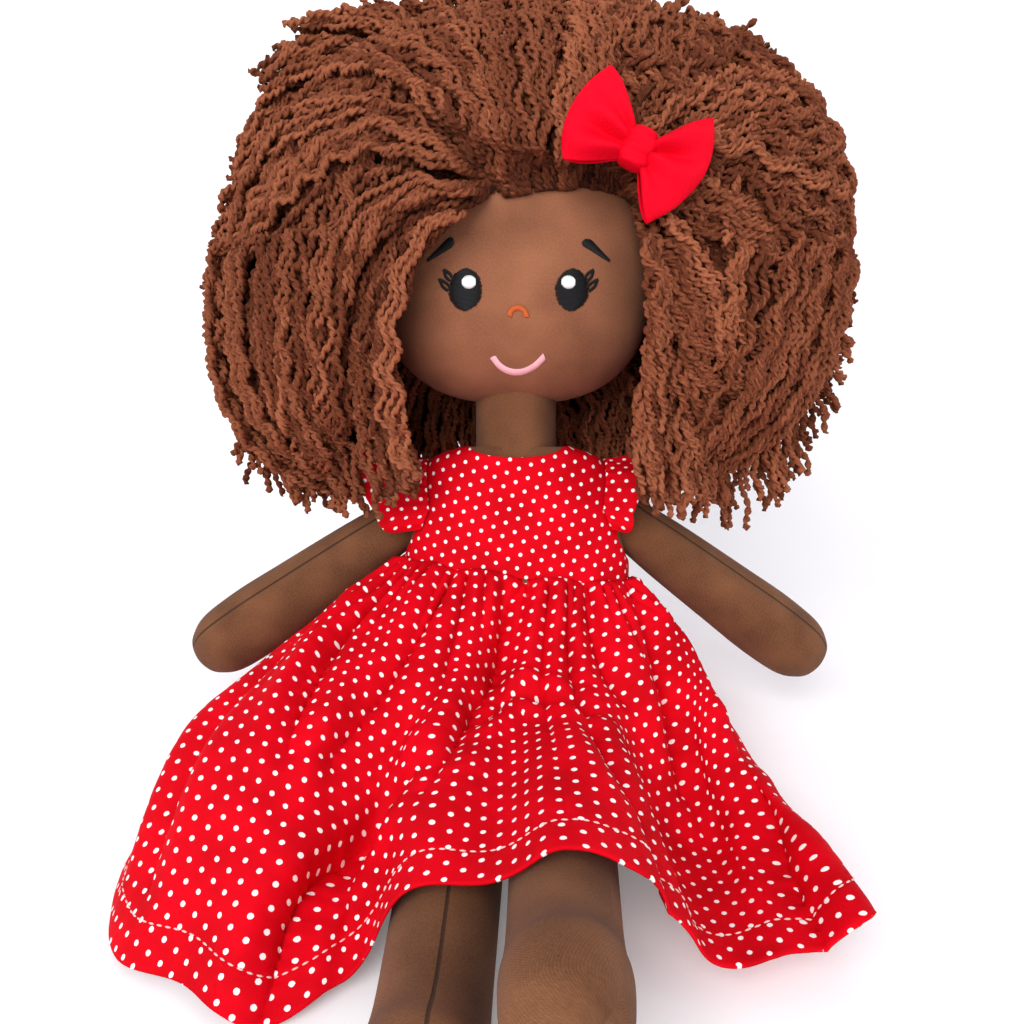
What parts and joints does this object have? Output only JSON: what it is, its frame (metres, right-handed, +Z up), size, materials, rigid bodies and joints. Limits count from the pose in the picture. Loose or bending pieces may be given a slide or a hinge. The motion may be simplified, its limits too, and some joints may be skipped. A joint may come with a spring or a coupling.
{
  "type": "rag doll",
  "caption": "Seated stuffed cloth doll with a big head of curly yarn hair, stitched face, hair bow and a gathered spotted dress spread over its legs.",
  "frame": {"origin": "middle of the flat underside of the body, on the floor that the doll sits on", "axes": "+Z up, the doll faces -Y with its legs straight out, +X to the viewer's right, which is the doll's left"},
  "size_m": [0.3363, 0.3872, 0.3491],
  "materials": {
    "skin_cotton": "plain weave cotton",
    "filling": "loose polyester fibre",
    "dark_thread": "satin stitch",
    "white_thread": "satin stitch",
    "rust_thread": "satin stitch",
    "pink_thread": "satin stitch",
    "yarn": "twisted, crimped yarn",
    "bow_crepe": "matt crepe",
    "spotted_cotton": "poplin with white pin dots",
    "button_plastic": "polished"
  },
  "bodies": {
    "torso": {"torso_skin": "skin_cotton", "torso_filling": "filling", "bodice_front": "spotted_cotton", "bodice_back_right": "spotted_cotton", "bodice_back_left": "spotted_cotton", "sleeve_right": "spotted_cotton", "sleeve_left": "spotted_cotton", "skirt_front": "spotted_cotton", "skirt_back": "spotted_cotton", "dress_button_upper": "button_plastic", "dress_button_lower": "button_plastic"},
    "neck": {"neck_skin": "skin_cotton", "neck_filling": "filling"},
    "head": {"head_skin": "skin_cotton", "head_filling": "filling", "eye_right": "dark_thread", "eye_left": "dark_thread", "eye_highlight_right": "white_thread", "eye_highlight_left": "white_thread", "eyebrow_right": "dark_thread", "eyebrow_left": "dark_thread", "nose": "rust_thread", "mouth": "pink_thread", "hair_crown_right": "yarn", "hair_crown_left": "yarn", "hair_side_right": "yarn", "hair_side_left": "yarn", "hair_back_right": "yarn", "hair_back_left": "yarn", "bow_loop_right": "bow_crepe", "bow_loop_left": "bow_crepe", "bow_knot": "bow_crepe"},
    "arm_right": {"arm_skin_right": "skin_cotton", "arm_filling_right": "filling"},
    "arm_left": {"arm_skin_left": "skin_cotton", "arm_filling_left": "filling"},
    "leg_right": {"leg_skin_right": "skin_cotton", "leg_filling_right": "filling"},
    "leg_left": {"leg_skin_left": "skin_cotton", "leg_filling_left": "filling"}
  },
  "joints": [
    {"name": "neck_nod", "type": "hinge", "parent": "torso", "child": "neck", "pos_m": [0, 0.02362, 0.13393], "axis": [1, 0, 0], "range_deg": [-8, 12], "deforming": ["hair_side_right", "hair_side_left", "hair_back_right", "hair_back_left"]},
    {"name": "head_turn", "type": "hinge", "parent": "neck", "child": "head", "pos_m": [0, 0.02362, 0.13393], "axis": [0, 0.1736, 0.9848], "range_deg": [-25, 25], "deforming": ["hair_side_right", "hair_side_left", "hair_back_right", "hair_back_left"]},
    {"name": "shoulder_right", "type": "hinge", "parent": "torso", "child": "arm_right", "pos_m": [-0.046, 0.01945, 0.1103], "axis": [-1, 0, 0], "range_deg": [-20, 60], "deforming": ["sleeve_right"]},
    {"name": "shoulder_left", "type": "hinge", "parent": "torso", "child": "arm_left", "pos_m": [0.046, 0.01945, 0.1103], "axis": [-1, 0, 0], "range_deg": [-20, 60], "deforming": ["sleeve_left"]},
    {"name": "hip_right", "type": "hinge", "parent": "torso", "child": "leg_right", "pos_m": [-0.021, -0.031, 0.006], "axis": [-1, 0, 0], "range_deg": [-75, 0]},
    {"name": "hip_left", "type": "hinge", "parent": "torso", "child": "leg_left", "pos_m": [0.021, -0.031, 0.006], "axis": [-1, 0, 0], "range_deg": [-75, 0]}
  ]
}
